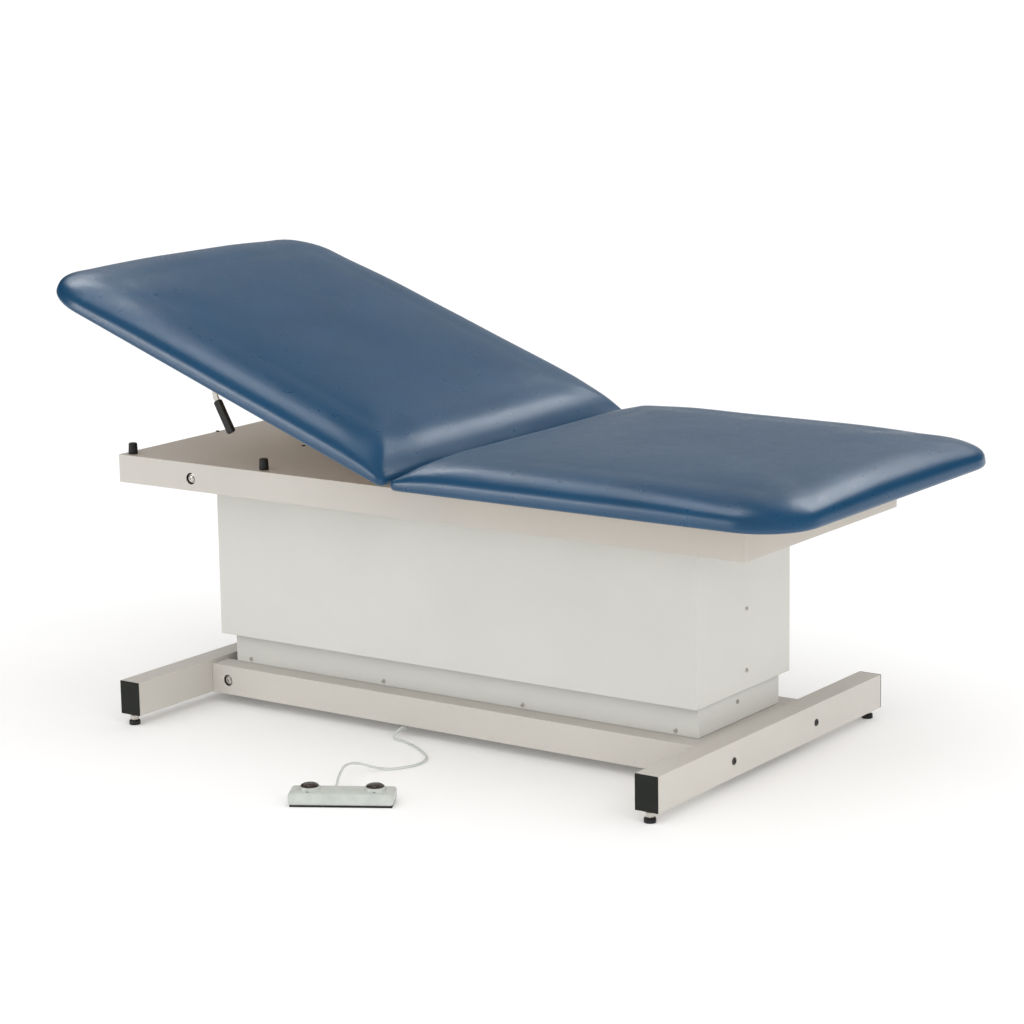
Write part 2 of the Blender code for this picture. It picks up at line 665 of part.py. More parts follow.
def add_cushion(name, head, foot, head_radius, foot_radius, body, offset=(0, 0, 0)):
    cushion = add_loft(name, cushion_rings(head, foot, head_radius, foot_radius), VINYL, body)
    cushion.location = Vector(offset) * MM
    board_low = (head + BOARD_INSET, -CUSHION_HALF_WIDTH + BOARD_INSET, -5)
    board_high = (foot - BOARD_INSET, CUSHION_HALF_WIDTH - BOARD_INSET, BOARD_THICK)
    radii = [max(radius - BOARD_INSET, 4.0) for radius in (head_radius, foot_radius)]
    recess = add_loft(name + "_recess", [
        (rounded_outline(board_low[0], board_high[0], board_high[1], *radii), -5.0),
        (rounded_outline(board_low[0], board_high[0], board_high[1], *radii), BOARD_THICK),
    ], None, body)
    PARTS.objects.unlink(recess)
    CUTTERS.objects.link(recess)
    recess.hide_render = True
    recess.display_type = "WIRE"
    recess.location = cushion.location
    boolean(cushion, recess, "DIFFERENCE")
    inset = GAP
    board = add_loft(name.replace("cushion", "board"), [
        (rounded_outline(board_low[0] + inset, board_high[0] - inset, board_high[1] - inset,
                         *radii), 0.0),
        (rounded_outline(board_low[0] + inset, board_high[0] - inset, board_high[1] - inset,
                         *radii), BOARD_THICK - inset),
    ], PLYWOOD, body)
    board.location = cushion.location


def add_sections(tray_body):
    at = tray_body.at
    seat_origin = at(0, 0, HINGE_Z)
    seat_head = HINGE_X + CUSHION_GAP
    add_cushion("seat_cushion", seat_head, SEAT_FOOT, HINGE_CORNER, OUTER_CORNER, tray_body,
                seat_origin)
    backrest = Body("backrest", (HINGE_X, 0, HINGE_Z), BACKREST_ANGLE)
    add_cushion("backrest_cushion", -BACKREST_LENGTH, -CUSHION_GAP, OUTER_CORNER, HINGE_CORNER,
                backrest)

    ear = 7.8
    for side in (-1, 1):
        low_y, high_y = sorted((side * 214.5, side * 239.0))
        rail = add_box(mirror_name("seat_rail", side),
                       at(HINGE_X + 22, low_y, TRAY_TOP + GAP), at(740, high_y, HINGE_Z - GAP),
                       FRAME_PAINT, tray_body)
        inner_y = sorted((side * 209.5, side * 215.0))
        join_box(rail, at(HINGE_X - ear, inner_y[0], TRAY_TOP + 2),
                 at(HINGE_X + 160, inner_y[1], HINGE_Z - GAP), tray_body)
        join_cylinder(rail, ear, 5.5, at(HINGE_X, side * 212.25, HINGE_Z), "y", tray_body)
        join_cylinder(rail, 4.0, 16, at(HINGE_X, side * 206.5, HINGE_Z), "y", tray_body, 16)

        low_y, high_y = sorted((side * 178.0, side * 200.5))
        beam = add_box(mirror_name("backrest_rail", side), (-620, low_y, -20),
                       (-22, high_y, -GAP), FRAME_PAINT, backrest)
        inner_y = sorted((side * 200.0, side * 206.0))
        join_box(beam, (-170, inner_y[0], -20), (0, inner_y[1], -GAP), backrest)
        join_cylinder(beam, ear, 6.0, (0, side * 203.0, 0), "y", backrest)
        cut_hole(beam, 4.0 + RUNNING_GAP, 40, (0, side * 205.0, 0), "y", backrest, 16)
    return backrest


def add_gas_spring(backrest):
    pin_x, pin_z = GAS_PIN
    along, below = GAS_TARGET
    turn = radians(BACKREST_ANGLE)
    target_x = HINGE_X + along * cos(turn) + below * sin(turn)
    target_z = HINGE_Z - along * sin(turn) + below * cos(turn)
    length = hypot(target_x - pin_x, target_z - pin_z)
    tilt = -degrees(atan2(target_z - pin_z, target_x - pin_x))
    cylinder_end = 172.0
    cylinder_body = Body("gas_spring", (pin_x, 0, pin_z), tilt)
    tube = add_cylinder("gas_spring_cylinder", 10.0, cylinder_end - 6,
                        ((cylinder_end + 6) / 2, 0, 0), "x", DARK_STEEL, cylinder_body, 20)
    join_cylinder(tube, 9.0, 14, (0, 0, 0), "y", cylinder_body, 20)
    cut_hole(tube, 4.0 + RUNNING_GAP, 30, (0, 0, 0), "y", cylinder_body, 16)
    cut_hole(tube, 4.1 + RUNNING_GAP, 290, (cylinder_end, 0, 0), "x", cylinder_body, 16)
    rod_body = Body("gas_spring_rod_slide", (pin_x, 0, pin_z), tilt)
    rod_start, rod_end = 100.0, length - 4
    rod = add_cylinder("gas_spring_rod", 4.1, rod_end - rod_start,
                       ((rod_start + rod_end) / 2, 0, 0), "x", STEEL, rod_body, 16)
    join_cylinder(rod, 7.0, 12, (length, 0, 0), "y", rod_body, 20)
    bracket = add_box("gas_spring_top_bracket", (along - 16, -14, below - 12),
                      (along + 16, 14, -GAP), FRAME_PAINT, backrest)
    cut_box(bracket, (along - 30, -10.5, below - 30), (along + 30, 10.5, -3.0), backrest)


def add_release_lever(backrest):
    x, y, z = LEVER_PIVOT
    lever_body = Body("release_lever_swing", LEVER_PIVOT)
    bend = Vector((LEVER_BEND[0] - x, 0, LEVER_BEND[1] - z))
    end = Vector((LEVER_END[0] - x, 0, LEVER_END[1] - z))

    def strip(start, finish, half):
        """Outline of a straight bar between two places in X and Z."""
        run = (finish - start).normalized()
        side = Vector((-run.z, 0, run.x)) * half
        corners = (start - side, finish - side, finish + side, start + side)
        return [(p.x, p.z) for p in corners]

    grip_run = (end - bend).normalized()
    neck = bend + grip_run * 8
    upper = add_plate("release_lever", strip(Vector((0, 0, 9)), bend - Vector((0, 0, 3)), 6.0),
                      (), 4.0, (0, 0, 0), UPRIGHT, STEEL, lever_body)
    lower = add_plate("release_lever_neck", strip(bend - grip_run * 3, neck, 6.0), (), 4.0,
                      (0, 0, 0), UPRIGHT, STEEL, lever_body)
    PARTS.objects.unlink(lower)
    CUTTERS.objects.link(lower)
    lower.hide_render = True
    lower.display_type = "WIRE"
    boolean(upper, lower, "UNION")
    cut_hole(upper, 3.0 + RUNNING_GAP, 20, (0, 0, 0), "y", lever_body, 16)
    grip = add_plate("release_lever_grip", strip(neck + grip_run * GAP, end, 8.0), (), 11.0,
                     (0, 0, 0), UPRIGHT, RUBBER, lever_body)
    bevel(grip, 3.0, 2)

    turn = radians(BACKREST_ANGLE)
    along = (x - HINGE_X) * cos(turn) - (z - HINGE_Z) * sin(turn)
    below = (x - HINGE_X) * sin(turn) + (z - HINGE_Z) * cos(turn)
    bracket = add_box("release_lever_bracket", (along - 14, y - 7, below - 8),
                      (along + 14, y + 7, -GAP), FRAME_PAINT, backrest)
    cut_box(bracket, (along - 20, y - 3.0, below - 20), (along + 20, y + 3.0, -3.0), backrest)
    join_cylinder(bracket, 3.0, 12, (along, y, below), "y", backrest, 16)


# ---------------------------------------------------------------- foot switch and cord

def add_foot_switch():
    length, depth, height = PEDAL_SIZE
    pedal = Body("foot_switch", (*PEDAL_CENTRE, 0.0), 0.0, PEDAL_ANGLE)
    add_box("pedal_base", (-length / 2 + 3, -depth / 2 + 3, 0), (length / 2 - 3, depth / 2 - 3, 3),
            RUBBER, pedal)
    cover = add_box("pedal_cover", (-length / 2, -depth / 2, 3 + GAP),
                    (length / 2, depth / 2, height), SWITCH_PLASTIC, pedal)
    bevel(cover, 6.0, 3)
    cut_box(cover, (-length / 2 + 3, -depth / 2 + 3, -5),
            (length / 2 - 3, depth / 2 - 3, height - 3), pedal)
    gland_x = -20.5
    join_cylinder(cover, 5.5, 10, (gland_x, depth / 2 + 3, 15.5), "y", pedal, 16)
    for side, name in ((-1, "raise_button"), (1, "lower_button")):
        x, y = side * BUTTON_OFFSET, BUTTON_BACK
        deep = COLLAR_HEIGHT + 1.0
        collar = to_object(name + "_collar", cylinder_mesh(21.0, deep, 32, 18.8), None, pedal,
                           (x, y, height - 1.0 + deep / 2), cutter=True)
        boolean(cover, collar, "UNION")
        cut_hole(cover, BUTTON_RADIUS + 0.6, 10, (x, y, height + COLLAR_HEIGHT + 1.7), "z",
                 pedal, 32)
        cut_hole(cover, 5.5, 40, (x, y, height), "z", pedal, 16)
        turn = radians(PEDAL_ANGLE)
        button = Body(name + "_slide", (PEDAL_CENTRE[0] + x * cos(turn) - y * sin(turn),
                                        PEDAL_CENTRE[1] + x * sin(turn) + y * cos(turn),
                                        height), 0.0, PEDAL_ANGLE)
        under = COLLAR_HEIGHT + 0.2
        crown = arc((0, 0), 1.0, 90, 12, 6)
        dome = [(BUTTON_RADIUS * cx, under + 0.8 + 5.0 * cy) for cx, cy in crown]
        dome[0] = (0.0, dome[0][1])
        profile = dome + [(BUTTON_RADIUS - 0.3, under), (5.0, under), (5.0, -14.0), (0.0, -14.0)]
        add_turned(name, profile, (0, 0, 0), "z", BUTTON_PLASTIC, button, 28)


def smooth_route(points, spacing):
    """Points at an even spacing along a Catmull-Rom curve through the given ones."""
    places = [Vector(p) for p in points]
    places = [places[0] * 2 - places[1]] + places + [places[-1] * 2 - places[-2]]
    fine = []
    for a, b, c, d in zip(places, places[1:], places[2:], places[3:]):
        for i in range(24):
            t = i / 24
            fine.append(0.5 * ((2 * b) + (c - a) * t + (2 * a - 5 * b + 4 * c - d) * t * t
                               + (3 * b - a - 3 * c + d) * t ** 3))
    fine.append(places[-2])
    total = sum((q - p).length for p, q in zip(fine, fine[1:]))
    step = total / round(total / spacing)
    kept, walked = [fine[0]], 0.0
    for p, q in zip(fine, fine[1:]):
        walked += (q - p).length
        if walked >= step * len(kept) - 1e-6:
            kept.append(q)
    kept[-1] = fine[-1]
    return kept


def add_cord():
    route = smooth_route(CORD_ROUTE, 4 * CORD_RADIUS)
    curve = bpy.data.curves.new("foot_switch_cord", "CURVE")
    curve.dimensions = "3D"
    curve.bevel_depth = CORD_RADIUS * MM
    curve.bevel_resolution = 2
    curve.use_fill_caps = True
    spline = curve.splines.new("POLY")
    spline.points.add(len(route) - 1)
    for point, place in zip(spline.points, route):
        point.co = (*(place * MM), 1.0)
    curve.materials.append(CORD_PLASTIC)
    cord = bpy.data.objects.new("foot_switch_cord", curve)
    cord.parent = BASE.empty
    PARTS.objects.link(cord)
    gx, gy, gz = CORD_GLAND
    add_cylinder("cord_gland", 4.1, 18, (gx, gy, gz), "y", SWITCH_PLASTIC, BASE, 16, 3.6)


BASE = Body("base")
add_base()
add_scissor()
add_actuator()
TRAY = add_tray()
BACKREST = add_sections(TRAY)
add_gas_spring(BACKREST)
add_release_lever(BACKREST)
add_foot_switch()
add_cord()
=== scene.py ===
"""Looks of the powered two-section examination table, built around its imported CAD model.

Lengths are millimetres in part.py's frame, except where a name or comment says otherwise;
place() turns such a point into the row frame's metres.
"""
import json
from math import atan2, cos, pi, radians, sin

import bmesh
import bpy
import numpy as np
from mathutils import Matrix, Vector, noise


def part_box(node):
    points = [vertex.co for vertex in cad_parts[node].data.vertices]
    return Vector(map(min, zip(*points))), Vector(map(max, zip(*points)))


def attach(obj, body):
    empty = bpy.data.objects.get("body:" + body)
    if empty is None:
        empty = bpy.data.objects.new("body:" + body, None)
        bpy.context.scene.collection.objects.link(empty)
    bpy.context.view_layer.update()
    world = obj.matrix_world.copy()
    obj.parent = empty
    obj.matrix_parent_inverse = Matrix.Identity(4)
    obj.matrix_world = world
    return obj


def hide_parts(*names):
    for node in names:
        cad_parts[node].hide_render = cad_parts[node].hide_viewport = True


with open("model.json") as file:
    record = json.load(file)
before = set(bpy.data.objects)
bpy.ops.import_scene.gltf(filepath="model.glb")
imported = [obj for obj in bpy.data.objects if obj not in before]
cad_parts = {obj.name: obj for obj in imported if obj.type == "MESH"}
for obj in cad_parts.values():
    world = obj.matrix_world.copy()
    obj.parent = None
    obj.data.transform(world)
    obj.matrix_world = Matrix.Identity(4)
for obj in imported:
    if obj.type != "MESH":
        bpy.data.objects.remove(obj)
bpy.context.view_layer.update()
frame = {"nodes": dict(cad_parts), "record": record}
NODES = frame["nodes"]
SLOTS = {row["node"]: row["material_slot"] for row in frame["record"]["subparts"]}
BODY_OF = {node: body for body, nodes in frame["record"]["behaviour"]["bodies"].items()
           for node in nodes}

MM = 0.001
RIGHT, FRONT, REAR, UP = (1.0, 0.0, 0.0), (0.0, -1.0, 0.0), (0.0, 1.0, 0.0), (0.0, 0.0, 1.0)
WHITE, BLACK = (1.0, 1.0, 1.0, 1.0), (0.0, 0.0, 0.0, 1.0)


# ---------------------------------------------------------------- places and objects

def middle(node):
    low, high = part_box(node)
    return (low + high) / 2


def table_origin():
    """The point on the floor under the middle of the base, which part.py calls zero."""
    head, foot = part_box("head_cross_beam"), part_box("foot_cross_beam")
    return Vector(((head[0].x + foot[1].x) / 2, (head[0].y + head[1].y) / 2, 0.0))


ORIGIN = table_origin()


def place(x, y, z):
    """A point given in part.py's millimetres, in the row frame's metres."""
    return ORIGIN + Vector((x, y, z)) * MM


def add_object(name, data):
    made = bpy.data.objects.new(name, data)
    bpy.context.scene.collection.objects.link(made)
    return made


def mesh_from(bm, name):
    """Turns a bmesh into a mesh of this name and frees it."""
    mesh = bpy.data.meshes.new(name)
    bm.to_mesh(mesh)
    bm.free()
    return mesh


# ---------------------------------------------------------------- materials

class Graph:
    """A material's node tree, with short calls for what every surface here needs."""

    NOISE_RANGE = (0.3, 0.7)     # where nearly all of a noise pattern's values lie

    def __init__(self, name):
        self.material = bpy.data.materials.new(name)
        self.material.use_nodes = True
        self.nodes = self.material.node_tree.nodes
        self.links = self.material.node_tree.links
        self.shader = self.nodes["Principled BSDF"]
        self.spot = self.nodes.new("ShaderNodeTexCoord").outputs["Object"]

    def join(self, source, target):
        self.links.new(source, target)

    def noise(self, scale, detail=3.0, rough=0.5, stretch=None):
        """A noise pattern, scale being its waves per metre, drawn out by stretch if given."""
        made = self.nodes.new("ShaderNodeTexNoise")
        made.inputs["Scale"].default_value = scale
        made.inputs["Detail"].default_value = detail
        made.inputs["Roughness"].default_value = rough
        spot = self.spot
        if stretch:
            mapping = self.nodes.new("ShaderNodeMapping")
            mapping.inputs["Scale"].default_value = stretch
            self.join(spot, mapping.inputs["Vector"])
            spot = mapping.outputs["Vector"]
        self.join(spot, made.inputs["Vector"])
        return made.outputs["Fac"]

    def ranged(self, source, low, high):
        """A noise pattern's values, spread from low to high."""
        made = self.nodes.new("ShaderNodeMapRange")
        spread = (*self.NOISE_RANGE, low, high)
        for name, value in zip(("From Min", "From Max", "To Min", "To Max"), spread):
            made.inputs[name].default_value = value
        self.join(source, made.inputs["Value"])
        return made.outputs["Result"]

    def mix(self, share, first, second):
        """Two colours mixed; sockets 6, 7 and 2 are the mix node's colours and its result."""
        made = self.nodes.new("ShaderNodeMix")
        made.data_type = "RGBA"
        self.join(share, made.inputs[0])
        made.inputs[6].default_value = (*first, 1.0)
        made.inputs[7].default_value = (*second, 1.0)
        return made.outputs[2]

    def sum(self, first, second):
        made = self.nodes.new("ShaderNodeMath")
        made.operation = "ADD"
        self.join(first, made.inputs[0])
        self.join(second, made.inputs[1])
        return made.outputs[0]

    def bump(self, height, strength, distance):
        """Raises the surface's shading by a pattern, distance metres at full strength."""
        made = self.nodes.new("ShaderNodeBump")
        made.inputs["Strength"].default_value = strength
        made.inputs["Distance"].default_value = distance
        self.join(height, made.inputs["Height"])
        self.join(made.outputs["Normal"], self.shader.inputs["Normal"])

    def colour(self, first, second, scale, detail=4.0):
        share = self.ranged(self.noise(scale, detail), 0.0, 1.0)
        self.join(self.mix(share, first, second), self.shader.inputs["Base Color"])

    def roughness(self, low, high, scale):
        self.join(self.ranged(self.noise(scale, 4.0), low, high), self.shader.inputs["Roughness"])

    def set(self, **values):
        for name, value in values.items():
            self.shader.inputs[name.replace("_", " ")].default_value = value


def shade(colour, factor):
    return tuple(channel * factor for channel in colour)


def powder_coat(name, colour):
    """Baked powder coat: even colour, a faint orange-peel surface, satin."""
    graph = Graph(name)
    graph.colour(shade(colour, 0.975), shade(colour, 1.02), scale=5.0)
    graph.roughness(low=0.36, high=0.46, scale=60.0)
    graph.set(Specular_IOR_Level=0.42)
    waves = graph.noise(420.0, detail=2.0)
    specks = graph.ranged(graph.noise(1500.0, detail=1.0), low=0.0, high=0.35)
    graph.bump(graph.sum(waves, specks), strength=0.22, distance=0.0003)
    return graph.material


def upholstery_vinyl(name, colour):
    """Coated upholstery cloth: a fine pebbled grain over a deep even blue."""
    graph = Graph(name)
    graph.colour(shade(colour, 0.93), shade(colour, 1.06), scale=9.0, detail=5.0)
    graph.roughness(low=0.27, high=0.32, scale=35.0)
    graph.set(Specular_IOR_Level=0.40, Coat_Weight=0.12, Coat_Roughness=0.22)
    pebbles = graph.noise(520.0, detail=2.0)
    pores = graph.ranged(graph.noise(1100.0, detail=1.0), low=0.0, high=0.4)
    graph.bump(graph.sum(pebbles, pores), strength=0.55, distance=0.00035)
    return graph.material


def moulded_plastic(name, colour, rough, texture=0.2, scale=900.0, gloss=0.45):
    """Moulded plastic or rubber: slightly mottled, with the mould's fine texture."""
    graph = Graph(name)
    graph.colour(shade(colour, 0.92), shade(colour, 1.07), scale=40.0)
    graph.roughness(low=rough - 0.05, high=rough + 0.05, scale=120.0)
    graph.set(Specular_IOR_Level=gloss)
    graph.bump(graph.noise(scale, detail=2.0), strength=texture, distance=0.0002)
    return graph.material


def plated_steel(name, colour, rough):
    """Plated or ground steel with fine drawn marks."""
    graph = Graph(name)
    graph.colour(shade(colour, 0.88), colour, scale=60.0)
    graph.set(Metallic=0.6)
    marks = graph.noise(1.0, detail=3.0, rough=0.6, stretch=(40.0, 40.0, 900.0))
    graph.join(graph.ranged(marks, rough - 0.06, rough + 0.08), graph.shader.inputs["Roughness"])
    graph.bump(marks, strength=0.12, distance=0.0001)
    return graph.material


def plywood(name, colour):
    """Bare plywood, its grain along the table."""
    graph = Graph(name)
    grain = graph.noise(1.0, detail=6.0, rough=0.6, stretch=(3.0, 60.0, 60.0))
    share = graph.ranged(grain, 0.0, 1.0)
    graph.join(graph.mix(share, shade(colour, 0.7), shade(colour, 1.1)),
               graph.shader.inputs["Base Color"])
    graph.set(Roughness=0.65)
    graph.bump(grain, strength=0.2, distance=0.0004)
    return graph.material


MATERIALS = {
    "frame_paint": powder_coat("frame_paint_look", (0.585, 0.558, 0.512)),
    "shroud_paint": powder_coat("shroud_paint_look", (0.655, 0.652, 0.612)),
    "vinyl": upholstery_vinyl("vinyl_look", (0.010, 0.061, 0.134)),
    "black_plastic": moulded_plastic("black_plastic_look", (0.012, 0.014, 0.011), rough=0.55,
                                     gloss=0.22),
    "rubber": moulded_plastic("rubber_look", (0.012, 0.012, 0.012), rough=0.6, texture=0.3,
                              scale=700.0),
    "steel": plated_steel("steel_look", (0.62, 0.59, 0.54), rough=0.3),
    "dark_steel": moulded_plastic("dark_steel_look", (0.035, 0.033, 0.03), rough=0.4,
                                  texture=0.15, scale=500.0),
    "plywood": plywood("plywood_look", (0.5, 0.34, 0.19)),
    "switch_plastic": moulded_plastic("switch_plastic_look", (0.53, 0.555, 0.52), rough=0.35,
                                      texture=0.12),
    "button_plastic": moulded_plastic("button_plastic_look", (0.03, 0.02, 0.018), rough=0.25,
                                      texture=0.08),
    "cord_plastic": moulded_plastic("cord_plastic_look", (0.62, 0.64, 0.62), rough=0.4,
                                    texture=0.15),
}
for node, shown in NODES.items():
    shown.data.materials.clear()
    shown.data.materials.append(MATERIALS[SLOTS[node]])


def dress(made, body, slot):
    """The piece rides on a body and takes a slot's finish."""
    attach(made, body)
    made.data.materials.append(MATERIALS[slot])
    return made


def stand_for(made, node):
    """The piece takes the place, the body and the finish of a CAD node."""
    dress(made, BODY_OF[node], SLOTS[node])
    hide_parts(node)
    return made


# ---------------------------------------------------------------- camera

CAMERA_SPOT = (3419.0, -4818.5, 1653.0)
AZIMUTH, ELEVATION, ROLL = radians(35.14), radians(11.46), radians(-0.92)
LENS, SENSOR = 104.53, 36.0
SHIFT = (0.0046, -0.0080)        # in widths of the picture
CLIP = (0.1, 60.0)               # metres


def add_camera():
    back = Vector((sin(AZIMUTH) * cos(ELEVATION), -cos(AZIMUTH) * cos(ELEVATION),
                   sin(ELEVATION)))
    level = Vector((cos(AZIMUTH), sin(AZIMUTH), 0.0))
    upright = back.cross(level)
    right = cos(ROLL) * level + sin(ROLL) * upright
    up = -sin(ROLL) * level + cos(ROLL) * upright
    data = bpy.data.cameras.new("camera")
    data.sensor_width = SENSOR
    data.lens = LENS
    data.shift_x, data.shift_y = SHIFT
    data.clip_start, data.clip_end = CLIP
    camera = add_object("camera", data)
    aim = Matrix((right, up, back)).transposed().to_4x4()
    camera.matrix_world = Matrix.Translation(place(*CAMERA_SPOT)) @ aim
    bpy.context.scene.camera = camera


add_camera()


# ---------------------------------------------------------------- foot switch cord

CORD_RADIUS = 2.6
CORD_ROUTE = (
    (-98.0, -206.6, 18.1), (-98.2, -213.0, 17.7), (-101.0, -220.5, 12.6), (-103.0, -225.5, 6.0),
    (-98.0, -229.5, 2.9), (-89.2, -231.8, 2.9), (-70.0, -235.1, 2.9), (-44.2, -245.6, 2.9),
    (-14.3, -262.5, 2.9), (15.5, -282.9, 2.9), (35.4, -301.3, 2.9), (48.4, -326.1, 2.9),
    (50.4, -356.0, 2.9), (37.4, -385.8, 2.9), (20.5, -410.7, 4.0), (3.7, -429.7, 9.5),
    (-11.7, -446.7, 17.5), (-19.6, -466.7, 23.5), (-15.1, -495.6, 26.5), (-1.1, -525.4, 26.0),
    (14.2, -554.2, 22.0), (24.2, -570.7, 17.5), (30.2, -581.0, 16.0), (36.4, -591.8, 15.5),
    (41.8, -601.4, 15.5),
)
CORD_PARTS = 10                  # straight runs between one point of the route and the next


def smooth_route(points):
    """Points along a Catmull-Rom curve through the given ones, and the curve's length."""
    places = [Vector(p) for p in points]
    places = [places[0] * 2 - places[1]] + places + [places[-1] * 2 - places[-2]]
    fine = []
    for a, b, c, d in zip(places, places[1:], places[2:], places[3:]):
        for i in range(CORD_PARTS):
            t = i / CORD_PARTS
            fine.append(0.5 * ((2 * b) + (c - a) * t + (2 * a - 5 * b + 4 * c - d) * t * t
                               + (3 * b - a - 3 * c + d) * t ** 3))
    fine.append(places[-2])
    return fine, sum((q - p).length for p, q in zip(fine, fine[1:]))


def add_cord():
    route, length = smooth_route(CORD_ROUTE)
    curve = bpy.data.curves.new("foot_switch_cord_shown", "CURVE")
    curve.dimensions = "3D"
    curve.bevel_depth = CORD_RADIUS          # times each point's radius, which is a millimetre
    curve.bevel_resolution = 5
    curve.use_fill_caps = True
    spline = curve.splines.new("POLY")
    spline.points.add(len(route) - 1)
    for point, spot in zip(spline.points, route):
        point.co = (*place(*spot), 1.0)
        point.radius = MM
    spline.use_smooth = True
    cord = dress(add_object("foot_switch_cord_shown", curve), "base", "cord_plastic")
    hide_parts("foot_switch_cord")


add_cord()


# ---------------------------------------------------------------- refined metalwork

SAME_POINT = 5e-6                # metres
SAME_PLANE, FOLD_ANGLE = radians(0.5), radians(35.0)
# How wide the rounding of each node's folded or moulded edges is.
ROUNDED = {
    "head_cross_beam": 2.6, "foot_cross_beam": 2.6, "front_long_beam": 2.6,
    "rear_long_beam": 2.6, "inner_shroud": 0.9, "outer_shroud": 0.9, "tray_pan": 1.1,
    "head_front_end_cap": 1.6, "head_rear_end_cap": 1.6, "foot_front_end_cap": 1.6,
    "foot_rear_end_cap": 1.6, "front_outer_arm": 0.8, "rear_outer_arm": 0.8,
    "front_inner_arm": 0.8, "rear_inner_arm": 0.8, "front_seat_rail": 1.0,
    "rear_seat_rail": 1.0, "front_backrest_rail": 1.0, "rear_backrest_rail": 1.0,
    "control_box": 1.0, "actuator_housing": 1.5, "release_lever": 0.6,
    "release_lever_grip": 2.2, "head_front_bumper": 0.8, "head_rear_bumper": 0.8,
    "hinge_front_bumper": 0.8, "hinge_rear_bumper": 0.8,
}


def refine(node, width):
    """A copy of a CAD node with its edges rounded."""
    bm = bmesh.new()
    bm.from_mesh(NODES[node].data)
    bmesh.ops.remove_doubles(bm, verts=bm.verts, dist=SAME_POINT)
    bmesh.ops.dissolve_limit(bm, angle_limit=SAME_PLANE, verts=bm.verts, edges=bm.edges)
    mesh = mesh_from(bm, node + "_shown")
    made = add_object(node + "_shown", mesh)
    mesh.shade_smooth()
    rounding = made.modifiers.new("rounding", "BEVEL")
    rounding.width = width * MM
    rounding.segments = 3
    rounding.limit_method = "ANGLE"
    rounding.angle_limit = FOLD_ANGLE
    rounding.harden_normals = True
    weighting = made.modifiers.new("weighting", "WEIGHTED_NORMAL")
    weighting.keep_sharp = True
    stand_for(made, node)


for node, width in ROUNDED.items():
    refine(node, width)


# ---------------------------------------------------------------- turned pieces

SHARP_ANGLE = radians(38)


def turned(name, profile, spot, axis, segments=32, sides=None):
    """A closed body turned from (radius, height) points, standing on spot along axis.

    sides gives a ring a polygon outline, as {ring number: count of sides}.
    """
    sides = sides or {}
    bm = bmesh.new()
    rings = []
    for number, (radius, height) in enumerate(profile):
        loop = []
        for i in range(segments):
            angle = 2 * pi * i / segments
            reach = radius
            if number in sides:
                step = 2 * pi / sides[number]
                reach = radius * cos(step / 2) / cos((angle % step) - step / 2)
            loop.append(bm.verts.new((reach * cos(angle) * MM, reach * sin(angle) * MM,
                                      height * MM)))
        rings.append(loop)
    for low, high in zip(rings, rings[1:]):
        for i in range(segments):
            j = (i + 1) % segments
            bm.faces.new((low[i], low[j], high[j], high[i]))
    bm.faces.new(rings[0][::-1])
    bm.faces.new(rings[-1])
    bmesh.ops.recalc_face_normals(bm, faces=bm.faces)
    aim = Vector(axis).to_track_quat("Z", "Y").to_matrix().to_4x4()
    bmesh.ops.transform(bm, matrix=Matrix.Translation(spot) @ aim, verts=bm.verts)
    mesh = mesh_from(bm, name)
    mesh.shade_smooth()
    mesh.set_sharp_from_angle(angle=SHARP_ANGLE)
    return add_object(name, mesh)


# Profiles are rings of (radius, height). A screw's are shares of its radius and of its height.
SCREW_TALL = 0.62
SCREW = ((1.0, 0.0), (1.0, 0.35), (0.86, 0.75), (0.62, 1.0), (0.46, 1.0), (0.44, 0.3))
WASHER = ((9.4, 0.0), (9.4, 0.8), (9.0, 1.1), (5.2, 1.1))
WASHER_TALL = 1.1
BOLT_HEAD = ((7.6, 0.0), (7.6, 1.0), (7.2, 1.9), (6.0, 2.7), (4.2, 3.2), (3.0, 3.3), (2.9, 1.6))
BEAM_BOLT_CAP = ((7.4, 0.0), (7.4, 0.5), (6.6, 1.6), (5.0, 2.3), (3.3, 2.5), (3.1, 0.9))
FOOT_PAD = ((10.6, 0.0), (11.4, 0.8), (11.6, 2.2), (11.5, 7.4), (10.8, 9.2), (9.2, 10.2),
            (7.0, 10.6))
FOOT_NUT = ((7.6, 10.6), (9.1, 11.2), (9.1, 19.4), (8.2, 20.2), (6.0, 20.4))
STEM_TOP = ((6.0, 43.2), (5.2, 44.0))
THREAD_FROM, THREAD_TO, THREAD_PITCH = 20.4, 41.5, 1.35
THREAD_CREST, THREAD_ROOT = 6.0, 5.3

# Where the screws are: along the inner shroud's sides, (across, up) on the shrouds' foot ends,
# and (along, across) on the tray.
SIDE_SCREWS_X, SIDE_SCREWS_Z = (-532.0, -181.0, 164.0, 520.0), 93.5
INNER_END_SCREW = (-8.0, 124.5)
OUTER_END_SCREWS = ((8.0, 185.5), (8.0, 307.5))
TRAY_SCREWS = ((-752.0, 20.0), (-479.0, -23.0))


def add_screw(name, spot, axis, body, radius=4.4, slot="steel"):
    """A pan-head screw with a hexagon socket."""
    tall = radius * SCREW_TALL
    profile = [(radius * across, tall * up) for across, up in SCREW]
    dress(turned(name, profile, spot, axis, 24, {4: 6, 5: 6}), body, slot)


def add_bolt(name, spot, axis, body):
    """A domed pivot bolt on its washer, set in an access hole."""
    dress(turned(name + "_washer", WASHER, spot, axis), body, "steel")
    top = spot + Vector(axis) * WASHER_TALL * MM
    dress(turned(name + "_head", BOLT_HEAD, top, axis, 36, {5: 6, 6: 6}), body, "steel")


